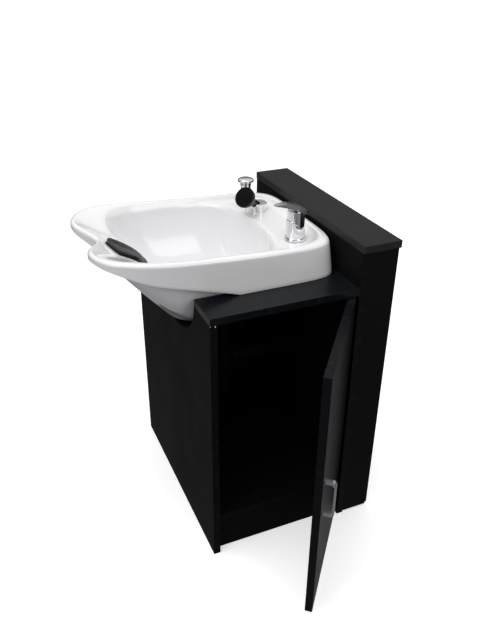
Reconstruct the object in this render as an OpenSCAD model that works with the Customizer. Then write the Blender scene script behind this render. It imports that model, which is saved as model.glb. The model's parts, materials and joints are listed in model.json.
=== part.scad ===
// Shampoo backwash unit: a glazed ceramic wash bowl on a black melamine cabinet with a service
// column behind it. Millimetres, +Z up. Origin on the floor, under the middle of the tall board
// that the cabinet and the column share. The client's neck is at -Y, the column at +Y,
// the door on the +X side, drawn ajar.

/* [Cabinet] */
// overall width of the cabinet and column, X
cabinet_w = 612; // [500:1:700]
// height of the shelf's upper face above the floor
shelf_z = 750; // [650:1:850]
// depth of the cabinet in front of the tall board's middle
cabinet_d = 399.5; // [330:0.5:480]
// thickness of the melamine boards
board_t = 19; // [15:0.5:25]
// thickness of the shelf and of the column's cap
top_t = 19; // [15:0.5:28]
// height of the plinth rails
plinth_h = 100; // [60:1:140]
// set-back of the far plinth rail from the cabinet's side
far_rail_setback = 40; // [20:1:80]
// half width of the bowl's cut-out in the shelf and front board
cutout_hw = 201; // [180:1:225]
// height of the lowest point of the front board's cut-out
cutout_z = 613; // [560:1:700]

/* [Column] */
// height of the cap's upper face
cap_z = 862; // [800:1:950]
// depth of the column behind the tall board's front face
column_d = 96; // [70:1:160]
// overhang of the cap at the two ends and the back
cap_over = 3; // [0:0.5:15]
// gap between the column's side boards and the floor
column_lift = 6; // [0:0.5:20]
// thickness of the thin board that closes the column's back
back_t = 6; // [3:0.5:12]

/* [Door] */
// angle the door stands open in the drawn position
door_open = 51; // [0:1:110]
// gap round the closed door
door_gap = 3; // [1:0.5:6]
// height of the door's lower edge above the floor
door_z0 = 17; // [10:1:60]
// hole distance of the bow handle
handle_c = 96; // [64:1:160]
// stand-off of the bow handle
handle_out = 28; // [20:1:40]
// height of the handle's middle
handle_z = 384; // [300:1:600]
// distance of the handle from the door's free edge
handle_edge = 26; // [15:1:80]

/* [Bowl] */
// half width of the bowl's skirt
bowl_hw = 223; // [190:1:240]
// Y of the widest section, from which the front and rear of the bowl are drawn
bowl_y = -340; // [-380:1:-300]
// reach of the bowl in front of that section
bowl_front = 283; // [240:1:320]
// reach of the bowl behind that section
bowl_rear = 325; // [300:1:328]
// height of the rim at the rear
rim_z = 839; // [810:1:870]
// extra height of the rim at the front lobes
rim_rise = 26; // [0:1:60]
// how far the front edge is drawn in between the lobes
notch_d = 45; // [0:1:80]
// width of that drawn-in part
notch_w = 60; // [40:1:100]
// height of the hull's lowest point
hull_z = 611; // [580:1:680]
// Y of the waste hole
drain_y = -250; // [-300:1:-200]
// radius of the waste hole
drain_r = 24; // [20:0.5:30]
// radius of the mixer hole
mixer_hole_r = 17.5; // [15:0.5:20]
// radius of the spray holder hole
holder_hole_r = 14; // [12:0.5:20]

/* [Fittings] */
// X of the mixer
mixer_x = 128; // [90:1:150]
// X of the spray holder
holder_x = -100; // [-110:1:-50]
// Y of both
fitting_y = -99; // [-120:1:-80]
// X of the vacuum breaker behind the spray
breaker_x = -150; // [-175:1:-145]
// Y of the vacuum breaker
breaker_y = -115; // [-120:1:-90]
// radius of the vacuum breaker's mushroom cap
breaker_cap_r = 22.5; // [16:0.5:26]
// radius of the mixer's foot
mixer_foot_r = 27.5; // [22:0.5:34]
// radius of the mixer's barrel
mixer_r = 24; // [18:0.5:28]
// radius of the spray's rose
rose_r = 28.5; // [20:0.5:40]
// angle at which the spray leans up from level
spray_tilt = 33; // [0:1:80]
// direction the spray points, from +X towards +Y
spray_dir = -58; // [-120:1:0]

/* [Waste] */
// outside radius of the waste pipe
pipe_r = 20; // [16:0.5:25]
// wall of the waste pipe
pipe_wall = 2; // [1.5:0.1:3]

/* [Show] */
// which part to draw: all, or the name of one part

/* [Hidden] */
$fn = 64;
hw = cabinet_w / 2;
front_y = -cabinet_d;
tall_y = board_t / 2;
inner_hw = hw - board_t;
board_c = [0.075, 0.075, 0.08];
edge_c = [0.11, 0.11, 0.12];
chrome_c = [0.8, 0.8, 0.82];
glaze_c = [0.95, 0.95, 0.96];
black_c = [0.05, 0.05, 0.05];
steel_c = [0.62, 0.62, 0.64];
door_h = shelf_z - top_t - door_gap - door_z0;
door_w = cabinet_d - board_t - tall_y - 2 * door_gap;
// the door's turning point, just outside its closed outer face and 5 mm in from its edge
hinge_x = hw + 1;
hinge_y = -tall_y - door_gap - 5;
hinge_zs = [plinth_h + board_t + 61, door_z0 + door_h - 100];
deck_z = rim_z - 13;
trap_out_z = 430;

// ---------------------------------------------------------------- boards
// a board from one corner to the opposite one
module board(a, b) {
  translate(a) cube(b - a);
}

// ---------------------------------------------------------------- cabinet
cam_r = 7.5;
cam_h = 13;
cams = [for (x = [-1, 1], y = [front_y + board_t + 24, -tall_y - 24], z = [0, 1])
  [x * (hw - 60), y, z == 0 ? plinth_h : shelf_z - top_t]];

cut_h = 760 - cutout_z;
cut_n = 2.5;
cut_half = [for (i = [0:13]) let (a = 90 * i / 13)
  [cutout_hw * pow(sin(a), 2 / cut_n), 760 - cut_h * pow(cos(a), 2 / cut_n)]];

module front_cutout() {
  translate([0, front_y - 1, 0]) rotate([90, 0, 0]) mirror([0, 0, 1]) linear_extrude(board_t + 2)
    polygon(concat([for (i = [13:-1:1]) [-cut_half[i][0], cut_half[i][1]]], cut_half,
      [[cutout_hw, 800], [-cutout_hw, 800]]));
}

module front_panel() {
  color(board_c) difference() {
    board([-hw, front_y, 0], [hw, front_y + board_t, shelf_z - top_t]);
    front_cutout();
  }
}

module far_side_panel() {
  color(board_c) board([-hw, front_y + board_t, 0], [-inner_hw, -tall_y, shelf_z - top_t]);
}

module tall_back_panel() {
  color(board_c) difference() {
    board([-hw, -tall_y, 0], [hw, tall_y, cap_z - top_t]);
    translate([0, 0, trap_out_z]) rotate([90, 0, 0]) cylinder(r = pipe_r + 5, h = 40, center = true);
    for (x = [-70, 70]) translate([x, 0, 400]) rotate([90, 0, 0]) cylinder(r = 16, h = 40, center = true);
  }
}

module bottom_panel() {
  color(board_c) difference() {
    board([-inner_hw, front_y + board_t, plinth_h], [inner_hw - 1.5, -tall_y, plinth_h + board_t]);
    for (c = cams) if (c[2] == plinth_h) translate([c[0], c[1], plinth_h - 1]) cylinder(r = cam_r, h = cam_h + 1);
  }
}

module plinth_rail_near() {
  color(board_c) board([inner_hw - board_t - 1, front_y + board_t, 0], [inner_hw - 1, -tall_y, plinth_h]);
}

module plinth_rail_far() {
  color(board_c) board([-hw + far_rail_setback, front_y + board_t, 0],
    [-hw + far_rail_setback + board_t, -tall_y, plinth_h]);
}

module shelf_top() {
  color(board_c) difference() {
    board([-hw, front_y, shelf_z - top_t], [hw, -tall_y, shelf_z]);
    translate([-cutout_hw, front_y - 1, shelf_z - top_t - 1]) cube([2 * cutout_hw, 311, top_t + 2]);
    translate([-cutout_hw + 50, front_y + 100, shelf_z - top_t - 1]) cube([2 * cutout_hw - 100, 260, top_t + 2]);
    for (s = [-1, 1]) translate([s * (cutout_hw - 50), front_y + 310, shelf_z - top_t - 1])
      cylinder(r = 50, h = top_t + 2);
    for (c = cams) if (c[2] > plinth_h) translate([c[0], c[1], shelf_z - top_t - 1]) cylinder(r = cam_r, h = cam_h + 1);
  }
}

module cam_locks() {
  color(steel_c) for (c = cams) translate([c[0], c[1], c[2] + 0.2]) difference() {
    cylinder(r = cam_r - 0.1, h = cam_h - 0.6);
    translate([-5, -0.8, -1]) cube([10, 1.6, 3]);
    translate([-0.8, -5, -1]) cube([1.6, 10, 3]);
  }
}

// ---------------------------------------------------------------- column
col_y1 = -tall_y + column_d;
back_screws = [for (x = [-1, 1], z = [60, 280, 500, 720]) [x * (hw - board_t / 2), z]];

module column_side(s) {
  difference() {
    board([s > 0 ? hw - board_t : -hw, tall_y, column_lift], [s > 0 ? hw : -hw + board_t, col_y1, cap_z - top_t]);
    for (p = back_screws) if (p[0] * s > 0) translate([p[0], col_y1 - 16, p[1]]) rotate([-90, 0, 0])
      cylinder(r = 1.6, h = 17, $fn = 24);
  }
}

module column_side_near() {
  color(board_c) column_side(1);
}

module column_side_far() {
  color(board_c) column_side(-1);
}

module column_back_panel() {
  color(board_c) difference() {
    board([-hw + 2, col_y1, column_lift + 4], [hw - 2, col_y1 + back_t, cap_z - top_t - 0.5]);
    for (p = back_screws) translate([p[0], col_y1 - 1, p[1]]) rotate([-90, 0, 0]) cylinder(r = 2, h = back_t + 2, $fn = 24);
    for (p = back_screws) translate([p[0], col_y1 + back_t - 2.2, p[1]]) rotate([-90, 0, 0])
      cylinder(r1 = 2, r2 = 4.2, h = 2.21, $fn = 32);
  }
}

module column_cap() {
  color(board_c) board([-hw - cap_over, -tall_y, cap_z - top_t], [hw + cap_over, col_y1 + back_t + cap_over, cap_z]);
}

module column_back_screws() {
  color(steel_c) for (p = back_screws) translate([p[0], col_y1, p[1]]) rotate([-90, 0, 0]) difference() {
    union() {
      translate([0, 0, -15]) cylinder(r = 1.55, h = 20, $fn = 24);
      translate([0, 0, back_t - 2.15]) cylinder(r1 = 1.9, r2 = 4, h = 2.1, $fn = 32);
    }
    translate([-3, -0.5, back_t - 1.2]) cube([6, 1, 2]);
    translate([-0.5, -3, back_t - 1.2]) cube([1, 6, 2]);
  }
}

// ---------------------------------------------------------------- door
// turns the closed door to its drawn angle about the hinge line
module swing() {
  translate([hinge_x, hinge_y, 0]) rotate([0, 0, door_open]) translate([-hinge_x, -hinge_y, 0]) children();
}

door_y1 = -tall_y - door_gap;
door_y0 = door_y1 - door_w;
cup_y = door_y1 - 21.5;
cup_r = 17.5;
cup_h = 11.5;
handle_y = door_y0 + handle_edge;

module door_panel() {
  color(board_c) swing() difference() {
    board([inner_hw, door_y0, door_z0], [hw, door_y1, door_z0 + door_h]);
    for (z = hinge_zs) translate([inner_hw - 1, cup_y, z]) rotate([0, 90, 0]) cylinder(r = cup_r, h = cup_h + 1.2);
    for (z = hinge_zs, s = [-24, 24]) translate([inner_hw - 1, cup_y - 9.5, z + s]) rotate([0, 90, 0])
      cylinder(r = 1.5, h = 12, $fn = 24);
    for (s = [-0.5, 0.5]) translate([inner_hw - 1, handle_y, handle_z + s * handle_c]) rotate([0, 90, 0])
      cylinder(r = 2.3, h = board_t + 2, $fn = 32);
  }
}

// flat bow: two feet square to the door, rounded corners, straight grip
module bow_2d(r) {
  difference() {
    union() {
      translate([0, -handle_c / 2 - 5]) square([handle_out - r, handle_c + 10]);
      translate([0, -handle_c / 2 - 5 + r]) square([handle_out, handle_c + 10 - 2 * r]);
      for (s = [-1, 1]) translate([handle_out - r, s * (handle_c / 2 + 5 - r)]) circle(r = r);
    }
    translate([-1, -handle_c / 2 + 4]) square([handle_out - 5 - r + 7, handle_c - 8]);
    translate([-1, -handle_c / 2 + 4 + r - 6]) square([handle_out - 4, handle_c - 8 - 2 * r + 12]);
  }
}

module door_handle() {
  color(steel_c) swing() translate([hw, handle_y, handle_z]) difference() {
    rotate([90, 0, 0]) translate([0, 0, -5]) linear_extrude(10) bow_2d(10);
    for (s = [-0.5, 0.5]) translate([-1, 0, s * handle_c]) rotate([0, 90, 0]) cylinder(r = 1.7, h = 14, $fn = 24);
  }
}

module door_handle_screws() {
  color(steel_c) swing() for (s = [-0.5, 0.5]) translate([inner_hw, handle_y, handle_z + s * handle_c])
    rotate([0, 90, 0]) difference() {
      union() {
        cylinder(r = 1.65, h = board_t + 11, $fn = 24);
        translate([0, 0, -2]) cylinder(r = 4, h = 1.98, $fn = 32);
      }
      translate([-3, -0.5, -3]) cube([6, 1, 2]);
      translate([-0.5, -3, -3]) cube([1, 6, 2]);
    }
}

// pressed cup with its flange, let into the door's inner face
module hinge_cups() {
  color(steel_c) swing() for (z = hinge_zs) translate([inner_hw, cup_y, z]) rotate([0, 90, 0]) difference() {
    union() {
      cylinder(r = cup_r - 0.1, h = cup_h);
      translate([0, 0, -1.4]) cylinder(r = cup_r + 2, h = 1.38);
      translate([-30, -13.5, -1.4]) cube([60, 12, 1.38]);
    }
    translate([0, 0, -2]) cylinder(r = cup_r - 1.5, h = cup_h + 1);
    for (s = [-24, 24]) translate([s, -9.5, -2]) cylinder(r = 1.7, h = 3, $fn = 24);
  }
}

// cranked arm that reaches from its plate to the door's edge
arm_x1 = inner_hw - 3;
module hinge_arms() {
  color(steel_c) for (z = hinge_zs) difference() {
    union() {
      translate([arm_x1 - 62, -tall_y - 13, z - 8]) cube([50, 9, 16]);
      translate([arm_x1 - 22, -tall_y - 17, z - 8]) cube([20, 13, 16]);
      translate([arm_x1 - 9, -tall_y - 10.5, z - 8]) cylinder(r = 6.5, h = 16);
    }
    translate([arm_x1 - 70, -tall_y - 11.5, z - 6.5]) cube([56, 10, 13]);
    translate([arm_x1 - 46, -tall_y - 20, z]) rotate([-90, 0, 0]) cylinder(r = 2.2, h = 12, $fn = 32);
  }
}

module hinge_plates() {
  color(steel_c) for (z = hinge_zs) difference() {
    union() {
      translate([arm_x1 - 58, -tall_y - 2, z - 28]) cube([24, 1.98, 56]);
      translate([arm_x1 - 60, -tall_y - 11, z - 6]) cube([40, 10, 12]);
    }
    for (s = [-20, 20]) translate([arm_x1 - 46, -tall_y - 3, z + s]) rotate([-90, 0, 0]) cylinder(r = 2, h = 4, $fn = 24);
    translate([arm_x1 - 46, -tall_y - 20, z]) rotate([-90, 0, 0]) cylinder(r = 1.7, h = 16, $fn = 32);
  }
}

// screws of the two plates, each with its head on the plate
module hinge_screws() {
  color(steel_c) for (z = hinge_zs) {
    for (s = [-20, 20]) translate([arm_x1 - 46, -tall_y - 2, z + s]) rotate([90, 0, 0]) difference() {
      union() {
        translate([0, 0, -1.9]) cylinder(r = 1.9, h = 2, $fn = 24);
        cylinder(r1 = 3.8, r2 = 3, h = 1.8, $fn = 32);
      }
      translate([-2.4, -0.45, 0.8]) cube([4.8, 0.9, 2]);
      translate([-0.45, -2.4, 0.8]) cube([0.9, 4.8, 2]);
    }
    translate([arm_x1 - 46, -tall_y - 13, z]) rotate([90, 0, 0]) difference() {
      union() {
        translate([0, 0, -8]) cylinder(r = 1.65, h = 8.1, $fn = 24);
        cylinder(r = 3.6, h = 2, $fn = 32);
      }
      translate([-2.4, -0.45, 1]) cube([4.8, 0.9, 2]);
    }
  }
}

// ---------------------------------------------------------------- bowl surface
// radius of a superellipse with half axes a, b and exponent n, at angle th
function super_r(th, a, b, n) = pow(pow(abs(cos(th)) / a, n) + pow(abs(sin(th)) / b, n), -1 / n);
function smooth01(t) = let (c = min(1, max(0, t))) c * c * (3 - 2 * c);
function bell(x, w, n) = exp(-pow(abs(x) / w, n));
// plan ring about the bowl's middle: half width a, front f, rear r, their exponents,
// and the drawn-in depth d over a width w at the front
function plan(th, a, f, r, nf, nr, d, w) =
  let (q = super_r(th, a, sin(th) < 0 ? f : r, sin(th) < 0 ? nf : nr), x = q * cos(th))
  [x, bowl_y + q * sin(th) + (sin(th) < 0 ? d * bell(x, w, 2) : 0)];
// skirt ring, e inside the outer outline
function skirt_ring(th, e, nr) = plan(th, bowl_hw - e, bowl_front - e, bowl_rear - e, 3.7, nr, notch_d, notch_w);
// inner side of the raised rim, and the basin's upper edge
function rim_ring(th) = plan(th, bowl_hw - 24, bowl_front - 93, bowl_rear - 24, 4.6, 6, 63.5, 73);
function basin_ring(th) = plan(th, bowl_hw - 30, bowl_front - 99, 195, 4.4, 3.2, 63.5, 73);
function hull_ring(th) = plan(th, bowl_hw - 20, bowl_front - 24, 209, 3.2, 3.2, notch_d - 6, notch_w + 10);
// heights, from the plan position
function rim_rise_at(y) = rim_rise * pow(min(1, max(0, (-99 - y) / 450)), 1.6);
function crest_z(p) = rim_z + rim_rise_at(p[1]) - (p[1] < bowl_y ? 13.5 * bell(p[0], 55, 2) : 0);
function inner_z(p) = rim_z + rim_rise_at(p[1]) - 71 * bell(p[0], 120, 1.9) * smooth01((bowl_y - p[1]) / 80);
function hem_t(y) = min(1.05, max(0, (-289.5 - y) / 330));
function hem_z(p) = shelf_z + 0.3 + 90 * pow(hem_t(p[1]), 0.95) + 10 * smooth01((hem_t(p[1]) - 0.6) / 0.3)
  - (p[1] < bowl_y ? 18 * bell(p[0], 70, 2) : 0);
function mix(a, b, t) = a * (1 - t) + b * t;
function arc01(u) = 1 - pow(max(0, 1 - u * u), 0.5);
// how much a direction faces the front, where the hull runs up in a straight slope
function frontness(th) = smooth01((-sin(th) - 0.35) / 0.65);
function ramp(u) = (u - 0.38 + pow(pow(u - 0.38, 2) + 0.004, 0.5) - 0.0052) / 1.238;
function climb(u, th) = mix(arc01(u), ramp(u), frontness(th));
// height of the outer wall of the skirt at angle th, and the radius of its upper arris
function wall_h(th) = crest_z(skirt_ring(th, 8, 8)) - hem_z(skirt_ring(th, 0, 10));
function arris(th) = min(9, wall_h(th) * 0.45);
function lean_at(th) = 2 * min(1, wall_h(th) / 80);
// share of the deck's depth taken by the hollow fillet under the raised rim
function fillet_v(th) = min(0.62, 14 / norm(basin_ring(th) - rim_ring(th)));
// the rim's upper face: v runs from 0 at the outer arris to 1 at the inner edge, and on to 2 at the basin
function saddle(th, v) =
  let (o = skirt_ring(th, lean_at(th) + arris(th), 6), rr = rim_ring(th),
    cz = crest_z(skirt_ring(th, 8, 8)), rz = inner_z(rr),
    p = v < 1 ? mix(o, rr, v) : mix(rr, basin_ring(th), v - 1),
    neck = sin(th) < 0 ? bell(p[0], 40, 2) : 0)
  v < 1 ? [p[0], p[1], mix(cz, rz, v) + (1.2 - 8 * neck) * sin(180 * pow(v, 0.65)) - 1.5 * pow(v, 6)]
    : [p[0], p[1], rz - 3.2 - 9.8 * sin(90 * min(1, (v - 1) / fillet_v(th)))];
// the closed section of the ceramic at angle th, from the waste hole outwards under the hull,
// round the skirt, over the rim and back down the basin
hull_u = [0.12, 0.24, 0.36, 0.48, 0.6, 0.7, 0.79, 0.87, 0.93, 0.97, 1];
basin_u = [1, 0.985, 0.955, 0.91, 0.85, 0.77, 0.67, 0.56, 0.44, 0.32, 0.21];
function drain_at(th, r) = [r * cos(th), drain_y + r * sin(th)];
function section(th) =
  let (
    d0 = drain_at(th, 40),
    hr = hull_ring(th),
    o0 = skirt_ring(th, 0, 10),
    hz = hem_z(o0),
    rr = rim_ring(th),
    br = basin_ring(th),
    c0 = skirt_ring(th, 8, 8),
    cz = crest_z(c0),
    deep = min(1, max(0, (wall_h(th) - 35) / 40)),
    lean = lean_at(th),
    pz = mix(hz + 0.5, inner_z(rr) - 26, deep),
    rz = inner_z(rr),
    f = arris(th)
  )
  concat(
    [[for (v = drain_at(th, 20)) v, hull_z - 12], [for (v = drain_at(th, 37)) v, hull_z - 12],
     [for (v = drain_at(th, 38)) v, hull_z - 4]],
    [for (u = hull_u) let (p = mix(d0, hr, u)) [p[0], p[1], mix(hull_z, pz, climb(u, th))]],
    [for (v = [[0.45, 0], [1, 0]]) let (p = mix(hr, skirt_ring(th, 10, 9.5), v[0])) [p[0], p[1], pz]],
    [let (p = skirt_ring(th, 8, 9.5)) [p[0], p[1], hz]],
    [let (p = skirt_ring(th, 1.2, 10)) [p[0], p[1], hz]],
    [let (p = o0) [p[0], p[1], hz + 1.5]],
    [for (v = [0.33, 0.66]) let (p = skirt_ring(th, lean * v, 10 - 3 * v)) [p[0], p[1], mix(hz + 1.5, cz - f, v)]],
    [for (a = [0, 22, 45, 67, 90]) let (p = skirt_ring(th, lean + f * (1 - cos(a)), 7 - a / 90))
      [p[0], p[1], cz - f + f * sin(a)]],
    [for (v = [0.12, 0.3, 0.5, 0.7, 0.88]) saddle(th, v)],
    [for (v = [0, 0.3, 0.62, 1]) saddle(th, 1 + v * fillet_v(th))],
    [for (u = basin_u) let (p = mix(drain_at(th, 36), br, u))
      [p[0], p[1], mix(hull_z + 14, rz - 13, climb(u, th))]],
    [[for (v = drain_at(th, 34.5)) v, hull_z + 12.5], [for (v = drain_at(th, 33)) v, hull_z + 9],
     [for (v = drain_at(th, 20)) v, hull_z + 9]]
  );
half_th = concat([for (a = [-90:3:-66]) a], [for (a = [-62:4:-42]) a], [for (a = [-35:7:42]) a],
  [for (a = [45:3:69]) a], [for (a = [76:7:90]) a]);
ths = concat(half_th, [for (i = [len(half_th) - 2:-1:1]) 180 - half_th[i]]);

// a closed ring of closed sections
module ring_of(secs) {
  n = len(secs);
  m = len(secs[0]);
  polyhedron(points = [for (s = secs) each s],
    faces = [for (i = [0:n - 1], j = [0:m - 1]) let (
        a = i * m + j, b = i * m + (j + 1) % m,
        c = ((i + 1) % n) * m + (j + 1) % m, d = ((i + 1) % n) * m + j)
      each [[a, b, c], [a, c, d]]]);
}

// soft rest for the neck, shaped to the dip between the lobes
rest_half = 14;
rest_us = [for (i = [-8:8]) i / 8];
rest_vs = [for (j = [0:15]) j / 15];
// place across the rim's upper face, for u along the rest and b across it
function rest_v(u, b) = mix(0.08 + 0.5 * pow(u * u + 0.015, 0.5), 1.5, min(1, b / 0.8));
function blunt(t, n) = pow(max(0, 1 - pow(abs(t), n)), 0.5);
function rest_pt(u, b, top) =
  let (q = saddle(-90 + rest_half * u, rest_v(u, b)), over = max(0, b - 0.8) / 0.2)
  [q[0], q[1] + 11 * over, q[2] + 1.6 - 7 * pow(over, 1.6) + (top ? 1.6 + 6 * blunt(u, 7) * blunt(2 * b - 1, 7) : 0)];

module neck_rest() {
  n = len(rest_us);
  m = len(rest_vs);
  pts = [for (top = [false, true], u = rest_us, b = rest_vs) rest_pt(u, b, top)];
  k = n * m;
  quads = concat(
    [for (i = [0:n - 2], j = [0:m - 2]) [k + i * m + j, k + i * m + j + 1, k + (i + 1) * m + j + 1, k + (i + 1) * m + j]],
    [for (i = [0:n - 2], j = [0:m - 2]) [i * m + j, (i + 1) * m + j, (i + 1) * m + j + 1, i * m + j + 1]],
    [for (i = [0:n - 2]) [i * m, k + i * m, k + (i + 1) * m, (i + 1) * m]],
    [for (i = [0:n - 2]) [i * m + m - 1, (i + 1) * m + m - 1, k + (i + 1) * m + m - 1, k + i * m + m - 1]],
    [for (j = [0:m - 2]) [j, j + 1, k + j + 1, k + j]],
    [for (j = [0:m - 2]) [(n - 1) * m + j, k + (n - 1) * m + j, k + (n - 1) * m + j + 1, (n - 1) * m + j + 1]]);
  color(black_c) polyhedron(points = pts, faces = [for (q = quads) each [[q[0], q[1], q[2]], [q[0], q[2], q[3]]]]);
}

module wash_bowl() {
  color(glaze_c) difference() {
    ring_of([for (th = ths) section(th)]);
    translate([0, drain_y, hull_z - 30]) cylinder(r = drain_r, h = 60);
    translate([mixer_x, fitting_y, deck_z - 60]) cylinder(r = mixer_hole_r, h = 120);
    translate([holder_x, fitting_y, deck_z - 60]) cylinder(r = holder_hole_r, h = 120);
    translate([breaker_x, breaker_y, deck_z - 60]) cylinder(r = breaker_hole_r, h = 120);
  }
}

// ---------------------------------------------------------------- waste and trap
seat_z = hull_z + 9;
boss_z = hull_z - 12;
tube_r = 22.5;
tube_z0 = boss_z - 42;
trap_neck_z = tube_z0 - 0.5;
trap_r = 33;
trap_top_z = trap_out_z + 40;
trap_low_z = trap_out_z - 37;
outlet_l = 53;
outlet_y = drain_y + outlet_l;
deck_low_z = rim_z - 26;

// tube r1 inside, r2 outside, from z0 to z1
module tube(r1, r2, z0, z1) {
  translate([0, 0, z0]) difference() {
    cylinder(r = r2, h = z1 - z0);
    translate([0, 0, -1]) cylinder(r = r1, h = z1 - z0 + 2);
  }
}

module at_drain() {
  translate([0, drain_y, 0]) children();
}

module waste_flange() {
  color(chrome_c) at_drain() {
    difference() {
      union() {
        translate([0, 0, tube_z0]) cylinder(r = tube_r, h = seat_z - tube_z0 + 1);
        translate([0, 0, seat_z + 0.03]) cylinder(r1 = 32, r2 = 31, h = 2.6);
      }
      translate([0, 0, tube_z0 - 1]) cylinder(r = 19, h = 100);
      translate([0, 0, seat_z + 0.7]) cylinder(r1 = 19, r2 = 28, h = 2.2);
    }
    difference() {
      for (a = [0, 90]) rotate([0, 0, a]) translate([-19.5, -1.5, boss_z + 2]) cube([39, 3, 4]);
      translate([0, 0, boss_z]) cylinder(r = 4, h = 10);
    }
    tube(2.5, 6, boss_z + 2, boss_z + 6);
  }
}

module waste_strainer() {
  color(chrome_c) at_drain() difference() {
    union() {
      translate([0, 0, boss_z - 6]) cylinder(r = 2.42, h = 30, $fn = 48);
      translate([0, 0, seat_z - 2]) cylinder(r = 18.6, h = 2);
      tube(17, 18.6, seat_z - 2, seat_z + 2);
      translate([0, 0, seat_z]) cylinder(r = 3.5, h = 6);
      translate([0, 0, seat_z + 6]) cylinder(r1 = 3.5, r2 = 6, h = 1.5);
      translate([0, 0, seat_z + 7.5]) cylinder(r = 6, h = 1.5);
    }
    for (r = [8, 13.4], i = [0:r - 1]) rotate([0, 0, i * 360 / floor(r)])
      translate([r, 0, seat_z - 4]) cylinder(r = 1.9, h = 6, $fn = 24);
  }
}

module waste_gasket() {
  color(black_c) at_drain() tube(22.7, 34, boss_z - 3, boss_z - 0.03);
}

module waste_backnut() {
  color(chrome_c) at_drain() difference() {
    union() {
      translate([0, 0, boss_z - 14]) cylinder(r = 34, h = 9, $fn = 6);
      translate([0, 0, boss_z - 5]) cylinder(r = 33, h = 1.97);
    }
    translate([0, 0, boss_z - 15]) cylinder(r = tube_r + 0.05, h = 14);
  }
}

// ring nut with grip ribs, r1 inside, r2 outside, from z0 to z1
module ribbed_nut(r1, r2, z0, z1, ribs) {
  difference() {
    union() {
      translate([0, 0, z0]) cylinder(r = r2 - 1.2, h = z1 - z0);
      for (i = [1:ribs]) rotate([0, 0, i * 360 / ribs]) translate([r2 - 1.8, -1.2, z0 + 1]) cube([1.8, 2.4, z1 - z0 - 2]);
    }
    translate([0, 0, z0 - 1]) cylinder(r = r1, h = z1 - z0 + 2);
  }
}

module trap_inlet_nut() {
  color(black_c) at_drain() ribbed_nut(tube_r + 0.05, 31, trap_neck_z - 13, trap_neck_z + 14, 16);
}

module trap_body() {
  color(black_c) at_drain() difference() {
    union() {
      difference() {
        union() {
          translate([0, 0, trap_low_z]) cylinder(r = trap_r, h = trap_top_z - trap_low_z - 8);
          translate([0, 0, trap_top_z - 8]) cylinder(r1 = trap_r, r2 = 22, h = 8);
          translate([0, outlet_l, trap_out_z]) rotate([90, 0, 0]) cylinder(r = tube_r, h = 40);
        }
        translate([0, 0, trap_low_z - 1]) cylinder(r = trap_r - 3, h = trap_top_z - trap_low_z - 7);
        translate([0, outlet_l + 1, trap_out_z]) rotate([90, 0, 0]) cylinder(r = 19.5, h = 38);
      }
      translate([0, 0, trap_low_z - 25]) cylinder(r = 18, h = trap_neck_z - trap_low_z + 5);
      translate([0, 0, trap_neck_z - 24]) cylinder(r = tube_r, h = 24);
    }
    translate([0, 0, trap_low_z - 26]) cylinder(r = 16, h = 200);
  }
}

module trap_cup() {
  color(black_c) at_drain() difference() {
    union() {
      translate([0, 0, trap_low_z - 60]) cylinder(r = trap_r, h = 50);
      translate([0, 0, trap_low_z - 66]) cylinder(r1 = 22, r2 = trap_r, h = 6.01);
      ribbed_nut(10, trap_r + 5, trap_low_z - 10, trap_low_z + 10, 20);
    }
    translate([0, 0, trap_low_z - 56]) cylinder(r = trap_r - 3, h = 60);
    translate([0, 0, trap_low_z - 0.3]) cylinder(r = trap_r + 0.05, h = 20);
  }
}

module trap_outlet_nut() {
  color(black_c) translate([0, outlet_y, trap_out_z]) rotate([-90, 0, 0]) {
    ribbed_nut(tube_r + 0.05, 30, -10, 0.4, 16);
    ribbed_nut(pipe_r + 0.05, 30, 0.4, 10, 16);
  }
}

pipe_col_y = 48;
bend_r = 35;
pipe_low_z = 40;
// from the trap back through the tall board, then down inside the column
module waste_pipe() {
  color(black_c) difference() {
    union() {
      translate([0, outlet_y + 0.5, trap_out_z]) rotate([-90, 0, 0])
        cylinder(r = pipe_r, h = pipe_col_y - bend_r - outlet_y - 0.5);
      translate([0, pipe_col_y - bend_r, trap_out_z - bend_r]) rotate([0, -90, 0])
        rotate_extrude(angle = 90) translate([bend_r, 0]) circle(r = pipe_r);
      translate([0, pipe_col_y, pipe_low_z]) cylinder(r = pipe_r, h = trap_out_z - bend_r - pipe_low_z);
    }
    translate([0, outlet_y - 1, trap_out_z]) rotate([-90, 0, 0])
      cylinder(r = pipe_r - pipe_wall, h = pipe_col_y - bend_r - outlet_y + 1);
    translate([0, pipe_col_y - bend_r, trap_out_z - bend_r]) rotate([0, -90, 0])
      rotate_extrude(angle = 90) translate([bend_r, 0]) circle(r = pipe_r - pipe_wall);
    translate([0, pipe_col_y, pipe_low_z - 1]) cylinder(r = pipe_r - pipe_wall, h = trap_out_z - bend_r - pipe_low_z + 1);
  }
}

// ---------------------------------------------------------------- mixer
foot_z = deck_z + 1;
floor_z = foot_z + 16;
swivel_r = 8;
dome_r = mixer_r - 2;
pivot_y = 14;
pivot_z = deck_z + 66.5;
lift_max = 25;
tail_low_z = 715;
tails = [for (a = [210, 270, 330]) [8.5 * cos(a), 8.5 * sin(a)]];
stud_y = 11;

module at_mixer() {
  translate([mixer_x, fitting_y, 0]) children();
}

module mixer_gasket() {
  color(black_c) at_mixer() tube(15, mixer_foot_r - 0.4, deck_z + 0.03, foot_z - 0.03);
}

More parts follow.
